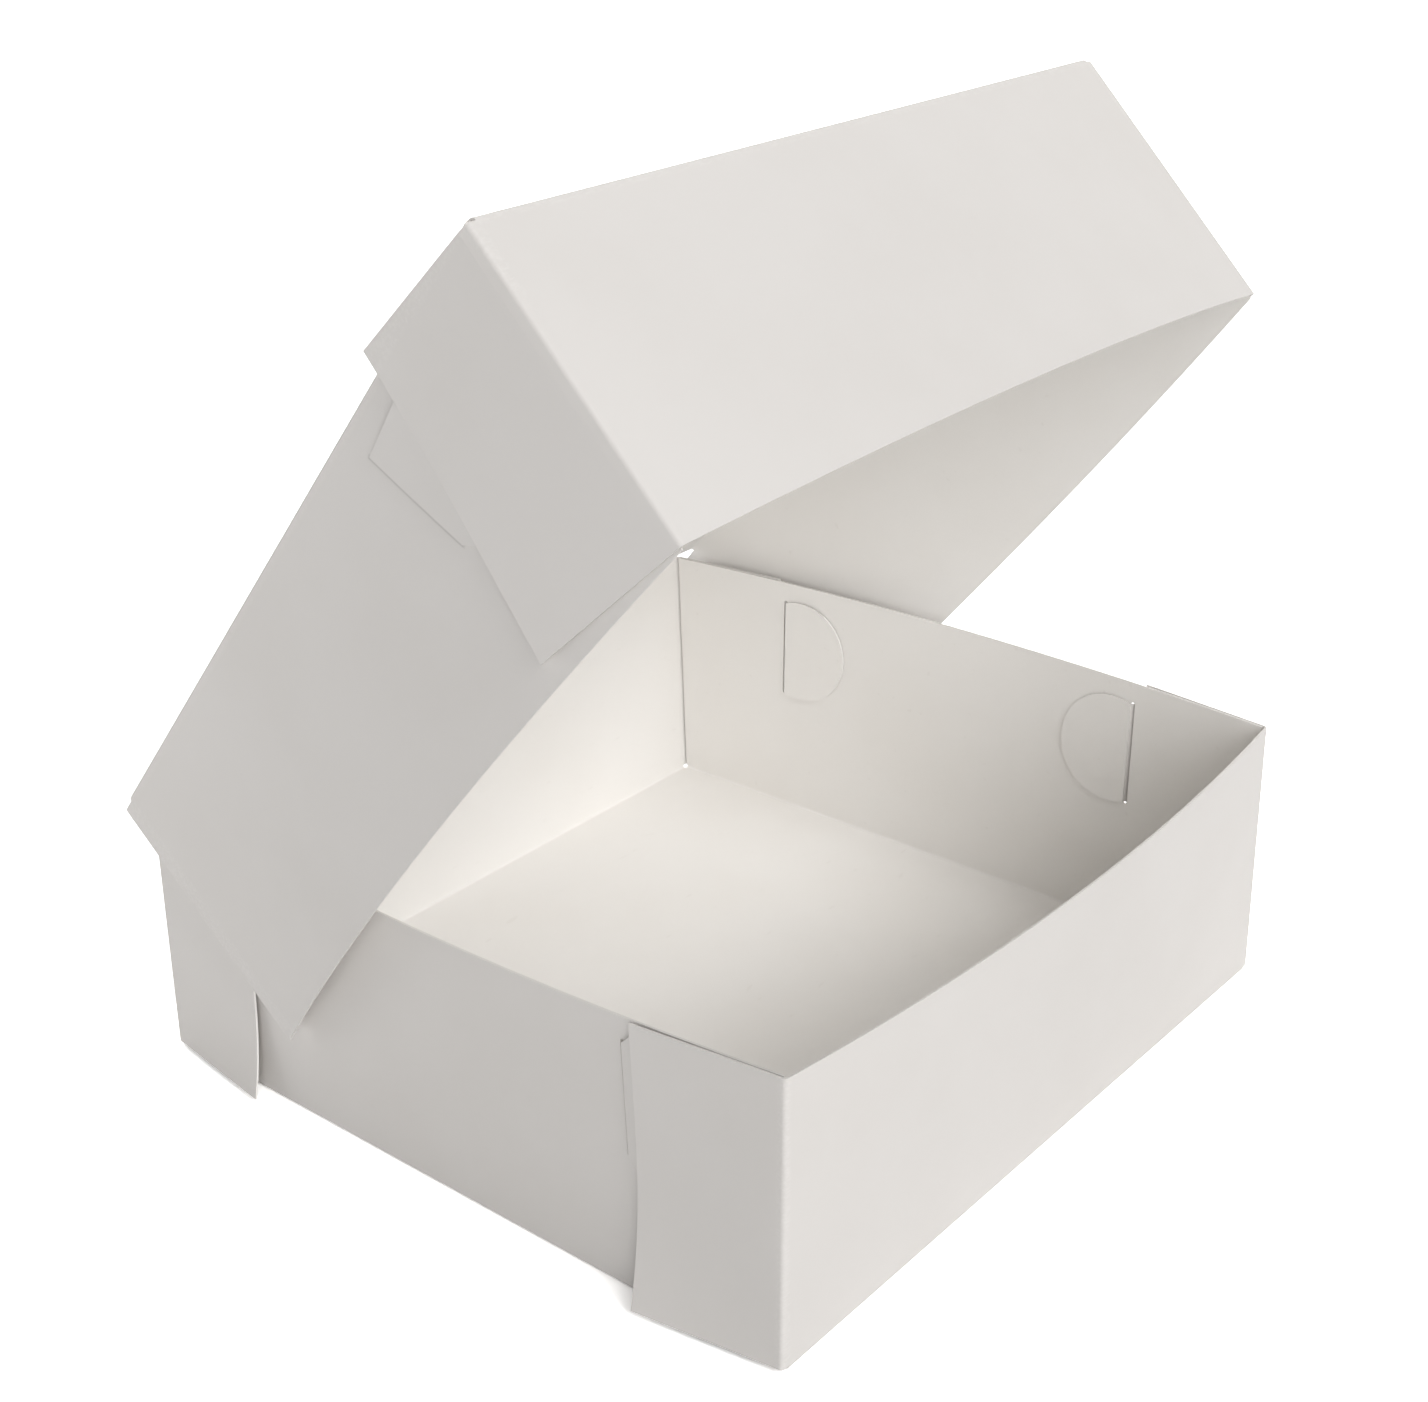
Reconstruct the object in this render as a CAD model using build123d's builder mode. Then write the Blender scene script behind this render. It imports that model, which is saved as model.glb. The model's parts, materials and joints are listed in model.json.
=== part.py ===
"""White paperboard cake box: a folded base with locked corner flaps and a lid that swings on the back crease."""
import os
from dataclasses import dataclass
from math import atan2, cos, degrees, hypot, radians, sin, tan

from build123d import *

os.makedirs("parts", exist_ok=True)

# Base, outside sizes at the bottom folds
box_width = 203.2
box_depth = 200.0
box_height = 74.0
board = 0.5

# Lid
lid_wall_depth = 72.0
lid_open_angle = 50.5
lid_front_lean = -6.5
lid_clearance = 0.6
lid_rear_reach = 4.0

# Scored folds and the crease that the lid swings on
fold_radius = 1.2
corner_relief = 0.3
rim_drop = 0.7
crease_gap = 0.12

# How far the free edges of the walls spring out, and how far the side walls' ends are drawn in
side_bow = 6.0
side_inset = 1.5
front_bow = 7.0
lid_side_bow = 10.0
lid_front_bow = 10.0

# Corner flaps: reach along the side wall, and how far their free ends stand off at the fold
front_flap_run = 37.5
rear_flap_run = 37.0
lid_flap_run = 41.0
front_flap_flare = 5.5
rear_flap_flare = 5.0
lid_flap_flare = 1.5
flap_touch_share = 0.6
flap_root = 3.0
flap_stand = 0.15
flap_slip = 0.2
wall_end_gap = 0.6

# Corner locks: reach from the corner, with drop from the base's rim or rise from the lid's fold
base_slit_reach = 40.5
base_slit_foot_drop = 35.3
base_slit_head_drop = 6.3
base_nose_reach = 62.0
base_nose_drop = 19.3
lid_slit_foot_reach = 58.0
lid_slit_foot_rise = 16.0
lid_slit_head_reach = 46.0
lid_slit_head_rise = 43.0
lid_nose_reach = 67.0
lid_nose_rise = 36.0
slit_width = 1.3
tongue_root = 3.0
tongue_jog = 0.4
tongue_step = 0.1

flap_steps = 3
half_turn = 180.0
quarter_turn = 90.0
overrun = 5.0

# Sizes that follow
flap_lap = flap_slip + board
wall_inset = board + wall_end_gap
base_half = box_width / 2
base_rim = box_height - rim_drop
axis_back = box_depth / 2 - board / 2
lid_half = base_half + side_bow - side_inset + lid_clearance + board
lid_reach = axis_back + box_depth / 2 + front_bow + lid_clearance + board


@dataclass
class Lock:
    """The slit in a side wall and the nose of the tongue that goes through it."""
    foot: tuple
    head: tuple
    nose: tuple

    def reach(self, rise):
        """Reach of the slit from the corner at a height above the fold."""
        slope = (self.head[0] - self.foot[0]) / (self.head[1] - self.foot[1])
        return self.foot[0] + slope * (rise - self.foot[1])


@dataclass
class Corner:
    """A front or back sheet with its two corner flaps, and the side walls that they lie against."""
    lock: Lock
    sheet: Plane
    half: float
    rim: float
    front_bow: float
    side_bow: float
    inset: float
    wall_length: float
    run: float
    flare: float
    lean: float

    @property
    def wall_shift(self):
        """How much further back a side wall starts at its free edge, to stay clear of a leaning sheet."""
        return -(self.rim - fold_radius) * tan(radians(self.lean))

    @property
    def root_spread(self):
        """Stand-off of a flap's root, in line with the flap at the rim."""
        return self.flap_flare(self.rim) * flap_root / self.run

    def rise_share(self, rise):
        """Height above the fold, as a share of the wall's height."""
        return (rise - fold_radius) / (self.rim - fold_radius)

    def corner_out(self, rise):
        """Corner of the sheet at one height, measured from the middle of the box."""
        return self.half + flap_lap - self.inset * self.rise_share(rise)

    def flap_flare(self, rise):
        """Stand-off of a flap's end: clear of the bowed side wall, and sprung out near the fold."""
        reach_share = self.run / self.wall_length
        bowed = 2 * self.side_bow * reach_share * (2 - reach_share) * self.rise_share(rise)
        lift_share = max(0, 1 - self.rise_share(rise) / flap_touch_share)
        return bowed + flap_stand + self.flare * lift_share ** 2

    def flap_out(self, run, rise):
        """Outer face of a flap, measured from the middle of the box."""
        run_share = (run - flap_root) / (self.run - flap_root)
        spread = self.root_spread + (self.flap_flare(rise) - self.root_spread) * run_share
        return self.corner_out(rise) + spread

    def wall_out(self, run, rise):
        """Outer face of the side wall at the same place, measured from the middle of the box."""
        lean = radians(self.lean)
        ahead = run - fold_radius
        above = rise - fold_radius
        rise_share = (ahead * sin(lean) + above * cos(lean)) / (self.rim - fold_radius)
        start = wall_inset + self.wall_shift * rise_share
        wall_run = fold_radius + ahead * cos(lean) - above * sin(lean) - start
        share = wall_run / (self.wall_length - self.wall_shift * rise_share)
        return self.half + rise_share * (4 * self.side_bow * share * (1 - share) - self.inset)


def leaning_sheet(frame, front, lean):
    """Frame of a folded-up sheet, at the centre of its fold; a positive lean is outward."""
    centre = frame.from_local_coords((0, front + fold_radius, fold_radius))
    upward = frame.z_dir * cos(radians(lean)) - frame.y_dir * sin(radians(lean))
    return Plane(origin=centre, x_dir=frame.x_dir, z_dir=upward)


def side_plane(frame):
    """Plane through the middle of a frame, seen from the side: first axis to the back, second up."""
    return Plane(origin=frame.origin, x_dir=frame.y_dir, z_dir=frame.x_dir)


def lock_plane(sheet):
    """Side view of a sheet: first axis is the reach from its outer face, second the rise from its fold."""
    corner = sheet.from_local_coords((0, -fold_radius, -fold_radius))
    return Plane(origin=corner, x_dir=sheet.y_dir, z_dir=sheet.x_dir)


def cross_plane(frame):
    """Plane through a frame, seen from the front: first axis across, second up."""
    return Plane(origin=frame.origin, x_dir=frame.x_dir, z_dir=-frame.y_dir)


def sheet_section(corner, rise):
    """A cut across a sheet and the roots of its flaps: root, corner fold, wall, corner fold, root."""
    half = corner.corner_out(rise)
    bow = corner.front_bow * corner.rise_share(rise)
    left = (-half, -fold_radius)
    right = (half, -fold_radius)
    with BuildSketch(corner.sheet.offset(rise - fold_radius)) as section:
        with BuildLine() as path:
            Line((-half - corner.root_spread, flap_root - fold_radius), left)
            if bow:
                ThreePointArc(left, (0, -fold_radius - bow), right)
            else:
                Line(left, right)
            Line(right, (half + corner.root_spread, flap_root - fold_radius))
            fillet(path.vertices().sort_by(Axis.Y).filter_by(lambda v: v.Y < 0), fold_radius)
            offset(amount=board, side=Side.LEFT)
        make_face()
    return section.sketch


def flap_section(corner, rise):
    """A cut across the left flap, from its root to its end."""
    root_turn = atan2(corner.root_spread, flap_root)
    root = (-corner.flap_out(flap_root, rise), flap_root - fold_radius)
    end = (-corner.flap_out(corner.run, rise), corner.run - fold_radius)
    turn = atan2(root[0] - end[0], end[1] - root[1])
    root_inside = (root[0] + board * cos(root_turn), root[1] + board * sin(root_turn))
    end_inside = (end[0] + board * cos(turn), end[1] + board * sin(turn))
    with BuildSketch(corner.sheet.offset(rise - fold_radius)) as section:
        with BuildLine():
            Polyline(root, end, end_inside, root_inside, close=True)
        make_face()
    return section.sketch


def wall_section(plane, half, bow, start, length):
    """A cut across the left side wall, straight or bowed outward."""
    back = (-half, start + length)
    front = (-half, start)
    with BuildSketch(plane) as section:
        with BuildLine():
            if bow:
                ThreePointArc(back, (-half - bow, start + length / 2), front)
            else:
                Line(back, front)
            offset(amount=board, side=Side.LEFT)
        make_face()
    return section.sketch


def fold_section(plane, centre, lean):
    """A cut across a scored fold between a flat panel and a wall."""
    with BuildSketch(plane) as section:
        with BuildLine():
            outside = CenterArc(centre, fold_radius, half_turn + lean, quarter_turn - lean)
            inside = CenterArc(centre, fold_radius - board, half_turn + lean, quarter_turn - lean)
            Line(outside @ 0, inside @ 0)
            Line(outside @ 1, inside @ 1)
        make_face()
    return section.sketch


def slit_section(corner):
    """Outline of the slits that a sheet's tongues go through."""
    foot = corner.lock.foot
    across = corner.lock.head[0] - foot[0]
    up = corner.lock.head[1] - foot[1]
    with BuildSketch(lock_plane(corner.sheet)) as section:
        with Locations((foot[0] + across / 2, foot[1] + up / 2)):
            SlotCenterToCenter(hypot(across, up), slit_width, rotation=degrees(atan2(up, across)))
    return section.sketch


def tongue_section(corner, rise):
    """A cut across the left tongue at one height: from inside the wall, through the slit, to the flap."""
    slit = corner.lock.reach(rise) + board / 2
    tip = corner.lock.nose[0] + overrun
    stops = [
        (corner.wall_out(tip, rise) - board - flap_slip, tip),
        (corner.wall_out(slit, rise) - board - flap_slip, slit + tongue_jog),
        (corner.wall_out(slit, rise) + board + flap_slip, slit - tongue_jog),
        (corner.flap_out(corner.run, rise) - tongue_step, corner.run),
        (corner.flap_out(corner.run - tongue_root, rise) - tongue_step, corner.run - tongue_root),
    ]
    with BuildSketch(corner.sheet.offset(rise - fold_radius)) as section:
        with BuildLine():
            Polyline([(-out, run - fold_radius) for out, run in stops])
            offset(amount=board, side=Side.LEFT, kind=Kind.INTERSECTION)
        make_face()
    return section.sketch


def tongue_outline(corner):
    """The tongue seen from the side: root on the flap, slit ends, round nose."""
    low = corner.lock.foot[1] - tongue_root
    high = corner.lock.head[1] + tongue_root
    root = corner.run - tongue_root - overrun
    end = corner.run
    with BuildSketch(lock_plane(corner.sheet)) as outline:
        with BuildLine():
            Polyline(corner.lock.head, (end, high), (root, high), (root, low), (end, low), corner.lock.foot)
            ThreePointArc(corner.lock.foot, corner.lock.nose, corner.lock.head)
        make_face()
    return outline.sketch


# Frames: the base stands on the XY plane; the lid's frame lies on its outer face with the walls pointing up
opened = radians(lid_open_angle)
lid_depth_dir = Vector(0, -sin(opened), -cos(opened))
crease = Vector(0, axis_back, box_height)
base_frame = Plane.XY
back_frame = Plane(origin=(0, 0, 0), x_dir=(-1, 0, 0), z_dir=(0, 0, 1))
lid_frame = Plane(origin=crease - lid_depth_dir * (board / 2), x_dir=(-1, 0, 0), z_dir=lid_depth_dir)

base_wall_length = box_depth - 2 * wall_inset
lid_wall_length = lid_reach - wall_inset + lid_rear_reach

base_lock = Lock(
    foot=(base_slit_reach, base_rim - base_slit_foot_drop),
    head=(base_slit_reach, base_rim - base_slit_head_drop),
    nose=(base_nose_reach, base_rim - base_nose_drop))
lid_lock = Lock(
    foot=(lid_slit_foot_reach, lid_slit_foot_rise),
    head=(lid_slit_head_reach, lid_slit_head_rise),
    nose=(lid_nose_reach, lid_nose_rise))
front_corner = Corner(
    lock=base_lock,
    sheet=leaning_sheet(base_frame, -box_depth / 2, 0), half=base_half, rim=base_rim, front_bow=front_bow,
    side_bow=side_bow, inset=side_inset, wall_length=base_wall_length, run=front_flap_run,
    flare=front_flap_flare, lean=0)
rear_corner = Corner(
    lock=base_lock,
    sheet=leaning_sheet(back_frame, -box_depth / 2, 0), half=base_half, rim=base_rim, front_bow=0,
    side_bow=side_bow, inset=side_inset, wall_length=base_wall_length, run=rear_flap_run,
    flare=rear_flap_flare, lean=0)
lid_corner = Corner(
    lock=lid_lock,
    sheet=leaning_sheet(lid_frame, -lid_reach, lid_front_lean), half=lid_half, rim=lid_wall_depth,
    front_bow=lid_front_bow, side_bow=lid_side_bow, inset=0, wall_length=lid_wall_length,
    run=lid_flap_run, flare=lid_flap_flare, lean=lid_front_lean)


def tongue_cuts(corner):
    """The cuts that a tongue is lofted through."""
    low = corner.lock.foot[1] - tongue_root
    high = corner.lock.head[1] + tongue_root
    return [tongue_section(corner, rise) for rise in (low, (low + high) / 2, high)]


def sheet_cuts(corner):
    """The cuts that a sheet is lofted through: at its fold and at its rim."""
    return [sheet_section(corner, rise) for rise in (fold_radius, corner.rim)]


def flap_cuts(corner):
    """The cuts that a flap is lofted through, from its foot to its rim."""
    step = (corner.rim - fold_radius) / flap_steps
    return [flap_section(corner, fold_radius + step * count) for count in range(flap_steps + 1)]


# Left tongue and flap of each pair
with BuildPart() as front_flap:
    loft(tongue_cuts(front_corner))
    extrude(tongue_outline(front_corner), amount=box_width, both=True, mode=Mode.INTERSECT)
    loft(flap_cuts(front_corner))

with BuildPart() as rear_flap:
    loft(tongue_cuts(rear_corner))
    extrude(tongue_outline(rear_corner), amount=box_width, both=True, mode=Mode.INTERSECT)
    loft(flap_cuts(rear_corner))

with BuildPart() as lid_flap:
    loft(tongue_cuts(lid_corner))
    extrude(tongue_outline(lid_corner), amount=box_width, both=True, mode=Mode.INTERSECT)
    loft(flap_cuts(lid_corner))

# Base
with BuildPart() as base:
    base_start = -box_depth / 2 + wall_inset
    base_fold_half = box_depth / 2 - fold_radius - corner_relief
    with BuildSketch(base_frame):
        Rectangle(box_width - 2 * fold_radius, box_depth - 2 * fold_radius)
    extrude(amount=board)
    side_fold = extrude(
        fold_section(cross_plane(base_frame), (-base_half + fold_radius, fold_radius), 0),
        amount=base_fold_half, both=True)
    mirror(side_fold, about=Plane.YZ)
    rim_half = base_half - side_inset
    side_wall = loft([
        wall_section(base_frame.offset(fold_radius), base_half, 0, base_start, base_wall_length),
        wall_section(base_frame.offset(base_rim), rim_half, side_bow, base_start, base_wall_length)])
    mirror(side_wall, about=Plane.YZ)
    extrude(slit_section(front_corner), amount=box_width, both=True, mode=Mode.SUBTRACT)
    extrude(slit_section(rear_corner), amount=box_width, both=True, mode=Mode.SUBTRACT)
    end_fold = extrude(
        fold_section(side_plane(base_frame), (-box_depth / 2 + fold_radius, fold_radius), 0),
        amount=base_half - fold_radius - corner_relief, both=True)
    mirror(end_fold, about=Plane.XZ)
    loft(sheet_cuts(front_corner))
    loft(sheet_cuts(rear_corner))
    add(front_flap.part)
    mirror(front_flap.part, about=Plane.YZ)
    add(rear_flap.part)
    mirror(rear_flap.part, about=Plane.YZ)
    with BuildSketch(side_plane(base_frame)):
        with Locations((axis_back, box_height - rim_drop / 2)):
            Rectangle(board, rim_drop)
        with Locations((axis_back, box_height)):
            Circle(board / 2)
    extrude(amount=base_half + flap_lap - side_inset - fold_radius, both=True)

# Lid
with BuildPart() as lid:
    lid_edge = board / 2 + crease_gap
    lid_start = -lid_reach + wall_inset
    lid_fold_front = -lid_reach + fold_radius + corner_relief
    panel_length = lid_reach - fold_radius - lid_edge
    with BuildSketch(lid_frame):
        with Locations((0, -lid_edge - panel_length / 2)):
            Rectangle(2 * (lid_half - fold_radius), panel_length)
    extrude(amount=board)
    fold_plane = cross_plane(lid_frame).offset(lid_edge)
    lid_side_fold = extrude(
        fold_section(fold_plane, (-lid_half + fold_radius, fold_radius), 0),
        amount=-lid_edge - lid_fold_front)
    mirror(lid_side_fold, about=Plane.YZ)
    edge_start = lid_start + lid_corner.wall_shift
    edge_length = lid_wall_length - lid_corner.wall_shift
    lid_side_wall = loft([
        wall_section(lid_frame.offset(fold_radius), lid_half, 0, lid_start, lid_wall_length),
        wall_section(lid_frame.offset(lid_wall_depth), lid_half, lid_side_bow, edge_start, edge_length)])
    mirror(lid_side_wall, about=Plane.YZ)
    extrude(slit_section(lid_corner), amount=box_width, both=True, mode=Mode.SUBTRACT)
    extrude(
        fold_section(side_plane(lid_frame), (-lid_reach + fold_radius, fold_radius), lid_front_lean),
        amount=lid_half - fold_radius - corner_relief, both=True)
    loft(sheet_cuts(lid_corner))
    add(lid_flap.part)
    mirror(lid_flap.part, about=Plane.YZ)

base.part.label = "base"
lid.part.label = "lid"
export_step(base.part, "parts/base.step")
export_step(lid.part, "parts/lid.step")
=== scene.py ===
"""White paperboard cake box with its lid half open, on a white table in soft studio light."""
import json
from math import cos, radians, sin

import bmesh
import bpy
from mathutils import Matrix, Quaternion, Vector


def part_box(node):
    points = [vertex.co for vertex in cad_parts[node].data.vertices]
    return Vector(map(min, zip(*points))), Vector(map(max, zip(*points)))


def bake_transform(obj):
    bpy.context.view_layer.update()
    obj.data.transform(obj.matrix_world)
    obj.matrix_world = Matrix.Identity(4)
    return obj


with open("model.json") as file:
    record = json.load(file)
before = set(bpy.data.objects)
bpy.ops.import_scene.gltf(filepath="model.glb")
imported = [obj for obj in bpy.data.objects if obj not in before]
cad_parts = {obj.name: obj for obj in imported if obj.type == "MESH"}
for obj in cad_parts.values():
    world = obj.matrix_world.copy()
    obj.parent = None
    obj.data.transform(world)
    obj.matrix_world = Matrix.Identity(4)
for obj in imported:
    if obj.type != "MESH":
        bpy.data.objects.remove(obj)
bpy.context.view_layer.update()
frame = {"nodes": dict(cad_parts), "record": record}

MM = 0.001
hinge = next(joint for joint in frame["record"]["behaviour"]["joints"] if joint["name"] == "lid_hinge")
crease = Vector(hinge["pos_m"])
open_angle = -radians(hinge["range_deg"][0])
base_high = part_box("base")[1]

# Board, folds and walls
board = 0.5 * MM
fold_radius = 1.2 * MM
fold_band = 2.2 * fold_radius
rim_drop = 0.7 * MM
base_half = 101.6 * MM
base_depth = 2 * crease.y + board
base_rim = base_high.z - board / 2 - rim_drop
lid_half = 107.2 * MM
lid_reach = 207.85 * MM
lid_wall_depth = 72 * MM

# Slits in the lid's side walls: their ends, ahead of the crease and in from the panel, and their line of
# painted shade
lid_slit_foot = Vector((0, 148.5 * MM, 9.2 * MM))
lid_slit_head = Vector((0, 157.4 * MM, 37.4 * MM))
slit_width = 1.3 * MM
slit_core = 0.2 * slit_width
slit_blur = 0.6 * slit_width

# Strip over the back crease: how far it runs on to the wall and the lid, its stand-off and its bend
strip_half = base_half - 2 * fold_radius
strip_run = 2 * MM
strip_lift = 0.08 * MM
strip_bend_steps = 10

# Paper tones, as linear colours: coated outside, bare inside, and the cut edge of the board
coated_white = (0.680, 0.655, 0.630, 1)
coated_shade = (0.664, 0.638, 0.611, 1)
bare_white = (0.940, 0.921, 0.894, 1)
bare_shade = (0.926, 0.904, 0.872, 1)
edge_white = (0.800, 0.778, 0.748, 1)
# Fold tone: coating whitened along the folds, with a painted highlight on their rounded edges
whitened_fold_and_highlight_tone = (0.735, 0.710, 0.686, 1)
fibre_brown = (0.560, 0.520, 0.460, 1)
# Painted shade in the slits of the lid's walls
slit_painted_shade = (0.400, 0.380, 0.360, 1)

# How strongly each mark shows on the board, with the folds' whitening and painted highlight and the
# slits' painted shade among them
coated_specks = 0.03
bare_specks_more = 0.05
whitened_fold_and_highlight_strength = 0.5
edge_strength = 0.8
slit_painted_shade_strength = 0.6

# Cut edge: where its tone starts and is full below the rim, and how far its face has to look up
edge_start = 0.4 * MM
edge_full = 0.2 * MM
edge_facing = 0.6

# Fibres, specks and clouds of the board: noise scales per metre, and where in the noise they start
fibre_scale = 1500
fibre_detail = 3
fibre_roughness = 0.6
fibre_stretch = (0.35, 1.0, 1.0)
# Where the folds' whitening and painted highlight start and are full in the fibre noise
whitened_fold_and_highlight_start = 0.40
whitened_fold_and_highlight_full = 0.70
speck_scale = 420
speck_detail = 1
speck_start = 0.72
speck_full = 0.80
cloud_scale = 22
cloud_detail = 3
cloud_start = 0.35
cloud_full = 0.70

# Relief of the grain: the share of fibres outside, how much more inside, and the share of clouds
coated_grain = 0.35
bare_grain_more = 0.65
cloud_grain = 0.5
grain_strength = 0.12
grain_relief = 0.12 * MM

# Sheen of the board
coated_roughness = 0.60
fibre_polish = 0.1
bare_roughness_more = 0.16
edge_roughness_more = 0.15
board_specular = 0.35

# Camera, worked out from the photograph's edges
camera_place = Vector((-0.38685, -0.32460, 0.32426))
camera_aim = Vector((0.02532, 0.02296, 0.07343))
camera_roll = -1.05
camera_lens = 56.22
camera_sensor = 36
camera_near = 0.01

# Light: even surroundings and five soft lamps, with their place seen from the middle of the box
surroundings = 0.08
surroundings_tone = (1, 1, 1, 1)
lamp_aim = Vector((0, 0, 0.08))
front_place = Vector((0.0, -7.9, 6.5))
front_spread = 40
front_level = 1.92
left_front_place = Vector((-6.6, -6.6, 3.0))
left_front_spread = 40
left_front_level = 1.2
left_rear_place = Vector((-0.40, 0.50, 0.15))
left_rear_size = 0.3
left_rear_power = 0.5
right_rear_place = Vector((6.0, 5.0, 5.0))
right_rear_spread = 70
right_rear_level = 1.2
rear_place = Vector((2.0, 7.0, 4.0))
rear_spread = 60
rear_level = 0.9

# The table's tone in the light and as the camera sees it
table_size = 30
table_tone = (0.85, 0.85, 0.85, 1)
table_tone_seen = (2.1, 2.1, 2.1, 1)


class Value:
    """One output of a shader node; arithmetic on it adds Math nodes to the same tree."""

    def __init__(self, tree, socket):
        self.tree = tree
        self.socket = socket

    def node(self, kind, settings, sockets, output=0):
        """Adds a node of any type: its settings are set first, then its sockets get values or links."""
        added = self.tree.nodes.new(kind)
        for name, setting in settings.items():
            setattr(added, name, setting)
        for name, given in sockets.items():
            if isinstance(given, Value):
                self.tree.links.new(given.socket, added.inputs[name])
            else:
                added.inputs[name].default_value = given
        return Value(self.tree, added.outputs[output])

    def math(self, operation, first, second=0.0):
        return self.node("ShaderNodeMath", {"operation": operation}, {0: first, 1: second})

    def __add__(self, other):
        return self.math("ADD", self, other)

    __radd__ = __add__

    def __sub__(self, other):
        return self.math("SUBTRACT", self, other)

    def __rsub__(self, other):
        return self.math("SUBTRACT", other, self)

    def __mul__(self, other):
        return self.math("MULTIPLY", self, other)

    __rmul__ = __mul__

    def __lt__(self, other):
        return self.math("LESS_THAN", self, other)

    def __gt__(self, other):
        return self.math("GREATER_THAN", self, other)

    def __or__(self, other):
        return self.math("MAXIMUM", self, other)

    def __abs__(self):
        return self.math("ABSOLUTE", self)

    def fade(self, low, high):
        """0 at low, 1 at high and smooth between."""
        ranges = {"Value": self, "From Min": low, "From Max": high, "To Min": 0.0, "To Max": 1.0}
        return self.node("ShaderNodeMapRange", {"interpolation_type": "SMOOTHSTEP"}, ranges)

    def part(self, axis):
        """One coordinate of a vector."""
        return self.node("ShaderNodeSeparateXYZ", {}, {0: self}, output="XYZ".index(axis))

    def less(self, other):
        """This vector with another taken off."""
        return self.node("ShaderNodeVectorMath", {"operation": "SUBTRACT"}, {0: self, 1: other})

    def dot(self, other):
        """How far two vectors run the same way."""
        settings = {"operation": "DOT_PRODUCT"}
        return self.node("ShaderNodeVectorMath", settings, {0: self, 1: other}, output=1)

    def turned(self, angle):
        """This vector turned about X."""
        settings = {"rotation_type": "X_AXIS"}
        return self.node("ShaderNodeVectorRotate", settings, {"Vector": self, "Angle": angle})

    def noise(self, scale, detail, roughness=0.5):
        """Cloudy noise over this position, around a half."""
        sockets = {"Vector": self, "Scale": scale, "Detail": detail, "Roughness": roughness}
        return self.node("ShaderNodeTexNoise", {}, sockets)

    def between(self, low, high):
        """A colour that goes from one to another as this mask goes from 0 to 1."""
        settings = {"data_type": "RGBA", "clamp_factor": True}
        return self.node("ShaderNodeMix", settings, {0: self, 6: low, 7: high}, output=2)


def paperboard(name, origin, tilt, half, length, depth, ahead, slit=None):
    """White board, coated outside and bare inside, with light cut edges, and scored folds lightened by
    whitened coating and a painted highlight.

    The tray's own frame has its panel's middle line at the origin, walls up, and the panel's
    middle a given way ahead along Y; half, length and depth are the tray's sizes in that frame.
    A slit, given by its two ends, is painted on both side walls as a dark line of shade.
    """
    material = bpy.data.materials.new(name)
    material.use_nodes = True
    tree = material.node_tree
    shader = tree.nodes["Principled BSDF"]
    given = tree.nodes.new("ShaderNodeTexCoord")
    local = Value(tree, given.outputs["Object"]).less(origin).turned(tilt)
    normal = Value(tree, given.outputs["Normal"]).turned(tilt)

    # Inside faces look towards the middle of the tray
    from_middle = local.less((0, ahead, depth / 2))
    inside = from_middle.dot(normal) < 0

    # Cut edges along the rim; folds round the panel and up the corners, lightened by whitened coating
    # and a painted highlight
    height = local.part("Z")
    cut = height.fade(depth - edge_start, depth - edge_full) * (normal.part("Z") > edge_facing)
    side = abs(from_middle.part("X")).fade(half - fold_band, half - fold_radius)
    end = abs(from_middle.part("Y")).fade(length / 2 - fold_band, length / 2 - fold_radius)
    low = 1 - height.fade(fold_radius, fold_band)
    fold = low * (side | end) + side * end

    # Fibres along the sheet, soft clouds and a few brown specks
    stretched = local.node("ShaderNodeMapping", {}, {"Vector": local, "Scale": fibre_stretch})
    fibres = stretched.noise(fibre_scale, fibre_detail, fibre_roughness)
    clouds = local.noise(cloud_scale, cloud_detail)
    specks = stretched.noise(speck_scale, speck_detail).fade(speck_start, speck_full)

    tone = inside.between(coated_white, bare_white)
    shade = inside.between(coated_shade, bare_shade)
    colour = clouds.fade(cloud_start, cloud_full).between(tone, shade)
    colour = (specks * (coated_specks + bare_specks_more * inside)).between(colour, fibre_brown)
    # Folds on the outside: whitened coating and a painted highlight, broken up by the fibres
    whitened_fold_and_highlight = fold * (1 - inside) * fibres.fade(whitened_fold_and_highlight_start, whitened_fold_and_highlight_full)
    colour = (whitened_fold_and_highlight * whitened_fold_and_highlight_strength).between(colour, whitened_fold_and_highlight_tone)
    colour = (cut * edge_strength).between(colour, edge_white)
    # Slits: a soft dark line of painted shade along each slit
    if slit:
        foot, head = slit
        run = head - foot
        from_foot = local.less(tuple(foot))
        along = from_foot.dot(tuple(run.normalized()))
        aside = abs(from_foot.dot((0, -run.z / run.length, run.y / run.length)))
        inner = 1 - aside.fade(slit_core, slit_blur)
        ends = along.fade(-slit_width, 0) * (1 - along.fade(run.length, run.length + slit_width))
        colour = (inner * ends * slit_painted_shade_strength).between(colour, slit_painted_shade)

    roughness = coated_roughness - fibre_polish * fibres
    roughness = roughness + bare_roughness_more * inside + edge_roughness_more * cut
    grain = fibres * (coated_grain + bare_grain_more * inside) + cloud_grain * clouds
    relief = {"Strength": grain_strength, "Distance": grain_relief, "Height": grain}
    bump = grain.node("ShaderNodeBump", {}, relief)
    tree.links.new(colour.socket, shader.inputs["Base Color"])
    tree.links.new(roughness.socket, shader.inputs["Roughness"])
    tree.links.new(bump.socket, shader.inputs["Normal"])
    shader.inputs["Specular IOR Level"].default_value = board_specular
    return material


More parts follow.
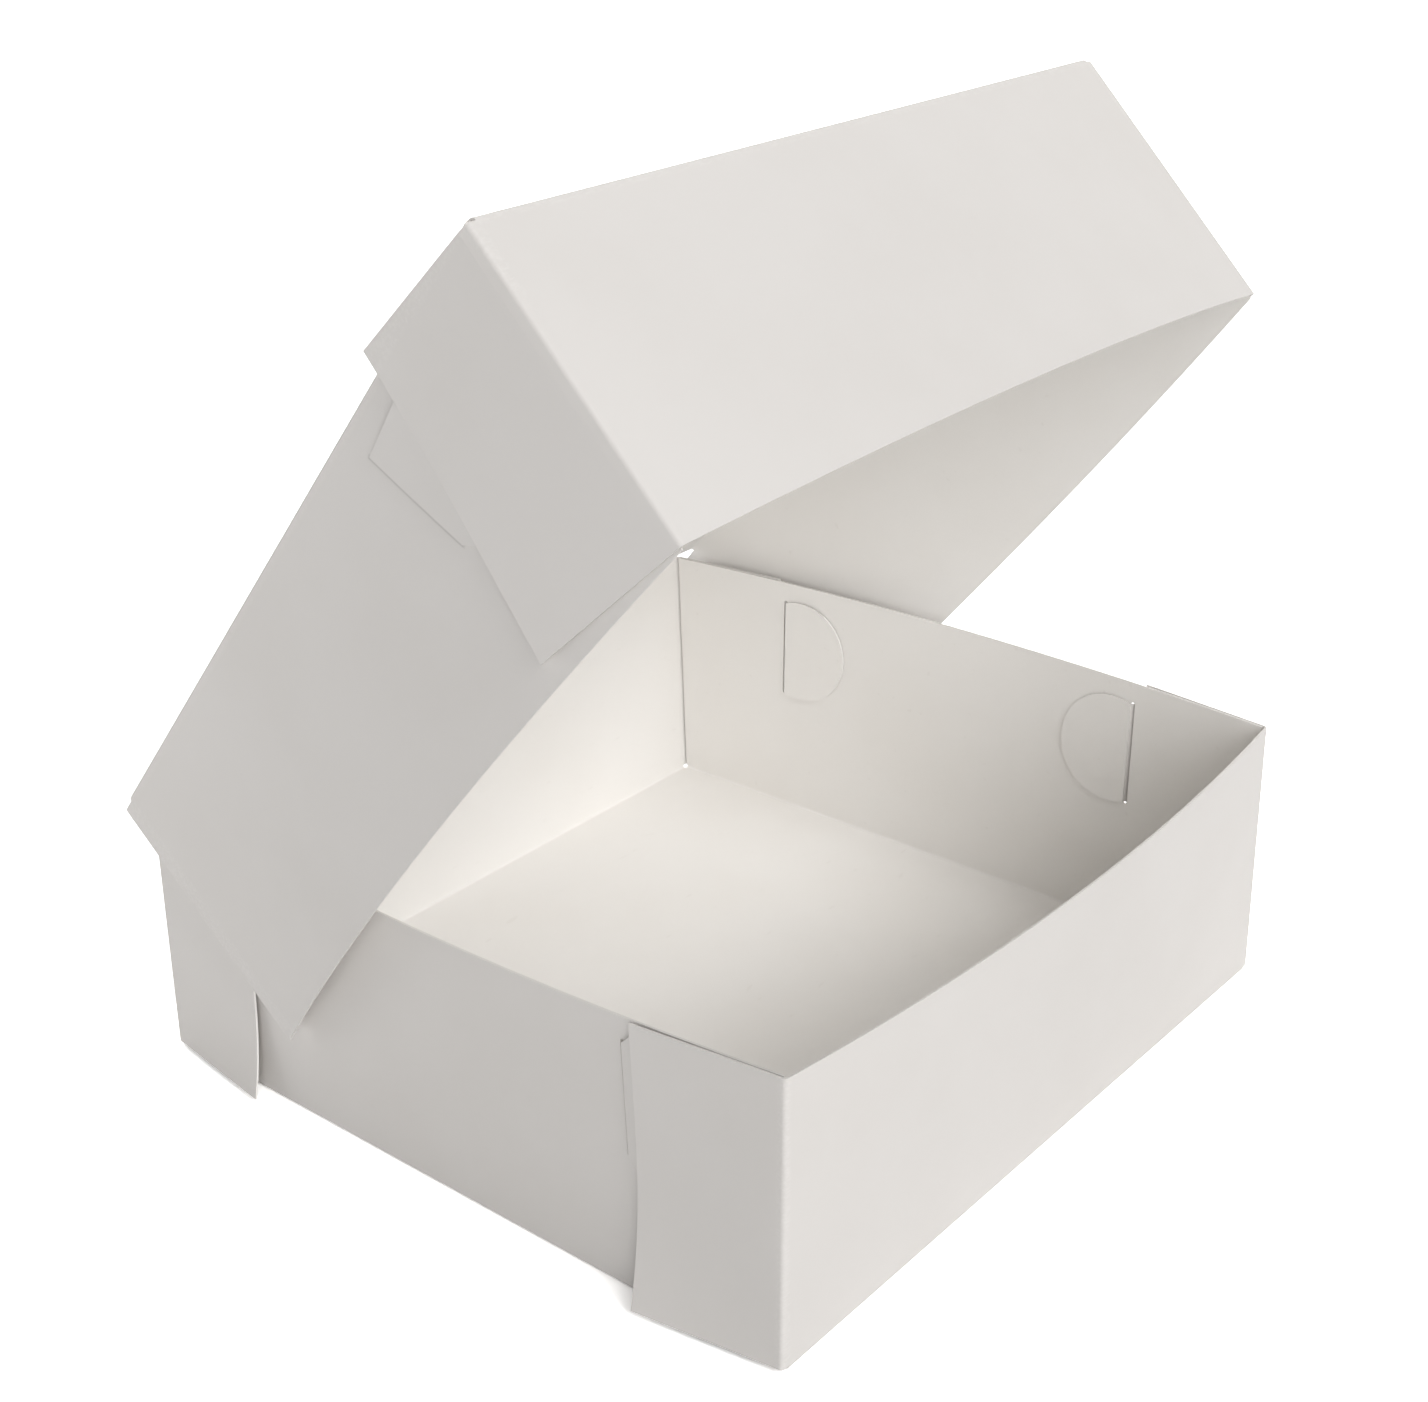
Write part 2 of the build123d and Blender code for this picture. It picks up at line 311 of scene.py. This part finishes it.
def crease_strip():
    """The sheet running on unbroken over the back crease, from the back wall's outside to the lid's."""
    mesh = bmesh.new()
    start = crease + Vector((0, board / 2 + strip_lift, -strip_run))
    foot = [mesh.verts.new(start + Vector((side * strip_half, 0, 0))) for side in (-1, 1)]
    edge = mesh.edges.new(foot)
    up = bmesh.ops.extrude_edge_only(mesh, edges=[edge])["geom"]
    rising = [item for item in up if isinstance(item, bmesh.types.BMVert)]
    bmesh.ops.translate(mesh, verts=rising, vec=(0, 0, strip_run))
    last = [item for item in up if isinstance(item, bmesh.types.BMEdge)]
    bend = radians(90) - open_angle
    turned = bmesh.ops.spin(
        mesh, geom=rising + last, cent=crease, axis=(1, 0, 0), angle=bend, steps=strip_bend_steps)
    ends = [item for item in turned["geom_last"] if isinstance(item, bmesh.types.BMEdge)]
    onward = bmesh.ops.extrude_edge_only(mesh, edges=ends)["geom"]
    reached = [item for item in onward if isinstance(item, bmesh.types.BMVert)]
    along_lid = Vector((0, -cos(open_angle), sin(open_angle)))
    bmesh.ops.translate(mesh, verts=reached, vec=along_lid * strip_run)
    bmesh.ops.recalc_face_normals(mesh, faces=mesh.faces)
    mesh.faces.ensure_lookup_table()
    if mesh.faces[0].normal.y < 0:
        bmesh.ops.reverse_faces(mesh, faces=mesh.faces)
    data = bpy.data.meshes.new("back_crease")
    mesh.to_mesh(data)
    mesh.free()
    data.shade_smooth()
    strip = bpy.data.objects.new("back_crease", data)
    bpy.context.collection.objects.link(strip)
    return strip


def table_top():
    """A wide white table that stays white to the camera and keeps the box's shadow."""
    mesh = bmesh.new()
    bmesh.ops.create_grid(mesh, x_segments=1, y_segments=1, size=table_size)
    data = bpy.data.meshes.new("table_top")
    mesh.to_mesh(data)
    mesh.free()
    table = bpy.data.objects.new("table_top", data)
    bpy.context.collection.objects.link(table)

    material = bpy.data.materials.new("white_table")
    material.use_nodes = True
    tree = material.node_tree
    tree.nodes.remove(tree.nodes["Principled BSDF"])
    seen = Value(tree, tree.nodes.new("ShaderNodeLightPath").outputs["Is Camera Ray"])
    paint = seen.node("ShaderNodeBsdfDiffuse", {}, {"Color": seen.between(table_tone, table_tone_seen)})
    tree.links.new(paint.socket, tree.nodes["Material Output"].inputs["Surface"])
    data.materials.append(material)


def lamp(name, kind, level, place):
    """A lamp of a kind, at a place and turned towards the box."""
    light = bpy.data.lights.new(name, kind)
    light.energy = level
    holder = bpy.data.objects.new(name, light)
    holder.location = place
    holder.rotation_euler = (lamp_aim - place).to_track_quat("-Z", "Y").to_euler()
    bpy.context.collection.objects.link(holder)
    return light


def studio():
    """Dim even surroundings that look white, and soft lamps round the box."""
    world = bpy.data.worlds.new("studio")
    bpy.context.scene.world = world
    world.use_nodes = True
    tree = world.node_tree
    rays = tree.nodes.new("ShaderNodeLightPath")
    direct = Value(tree, rays.outputs["Is Camera Ray"]) | Value(tree, rays.outputs["Is Glossy Ray"])
    direct = direct | Value(tree, rays.outputs["Is Transmission Ray"])
    strength = surroundings + (1 - surroundings) * direct
    tree.links.new(strength.socket, tree.nodes["Background"].inputs["Strength"])
    tree.nodes["Background"].inputs["Color"].default_value = surroundings_tone

    lamp("front_lamp", "SUN", front_level, front_place).angle = radians(front_spread)
    lamp("left_front_lamp", "SUN", left_front_level, left_front_place).angle = radians(left_front_spread)
    lamp("left_rear_soft_box", "AREA", left_rear_power, left_rear_place).size = left_rear_size
    lamp("right_rear_lamp", "SUN", right_rear_level, right_rear_place).angle = radians(right_rear_spread)
    lamp("rear_lamp", "SUN", rear_level, rear_place).angle = radians(rear_spread)


def viewpoint():
    """The photograph's camera."""
    data = bpy.data.cameras.new("camera")
    data.sensor_width = camera_sensor
    data.sensor_fit = "HORIZONTAL"
    data.lens = camera_lens
    data.clip_start = camera_near
    view = bpy.data.objects.new("camera", data)
    level = (camera_aim - camera_place).to_track_quat("-Z", "Y")
    rolled = level @ Quaternion((0, 0, 1), radians(camera_roll))
    view.matrix_world = Matrix.Translation(camera_place) @ rolled.to_matrix().to_4x4()
    bpy.context.collection.objects.link(view)
    bpy.context.scene.camera = view


# The base's frame is the box's own; the lid's has the crease as origin and its walls pointing up
base_board = paperboard("base_board", (0, 0, 0), 0.0, base_half, base_depth, base_rim, 0.0)
lid_tilt = open_angle - radians(180)
lid_board = paperboard(
    "lid_board", tuple(crease), lid_tilt, lid_half, lid_reach, lid_wall_depth - board / 2, lid_reach / 2,
    slit=(lid_slit_foot, lid_slit_head))
frame["nodes"]["base"].material_slots[0].material = base_board
frame["nodes"]["lid"].material_slots[0].material = lid_board

strip = crease_strip()
strip.data.materials.append(base_board)
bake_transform(strip)

table_top()
studio()
viewpoint()
bpy.context.scene.view_settings.view_transform = "Standard"
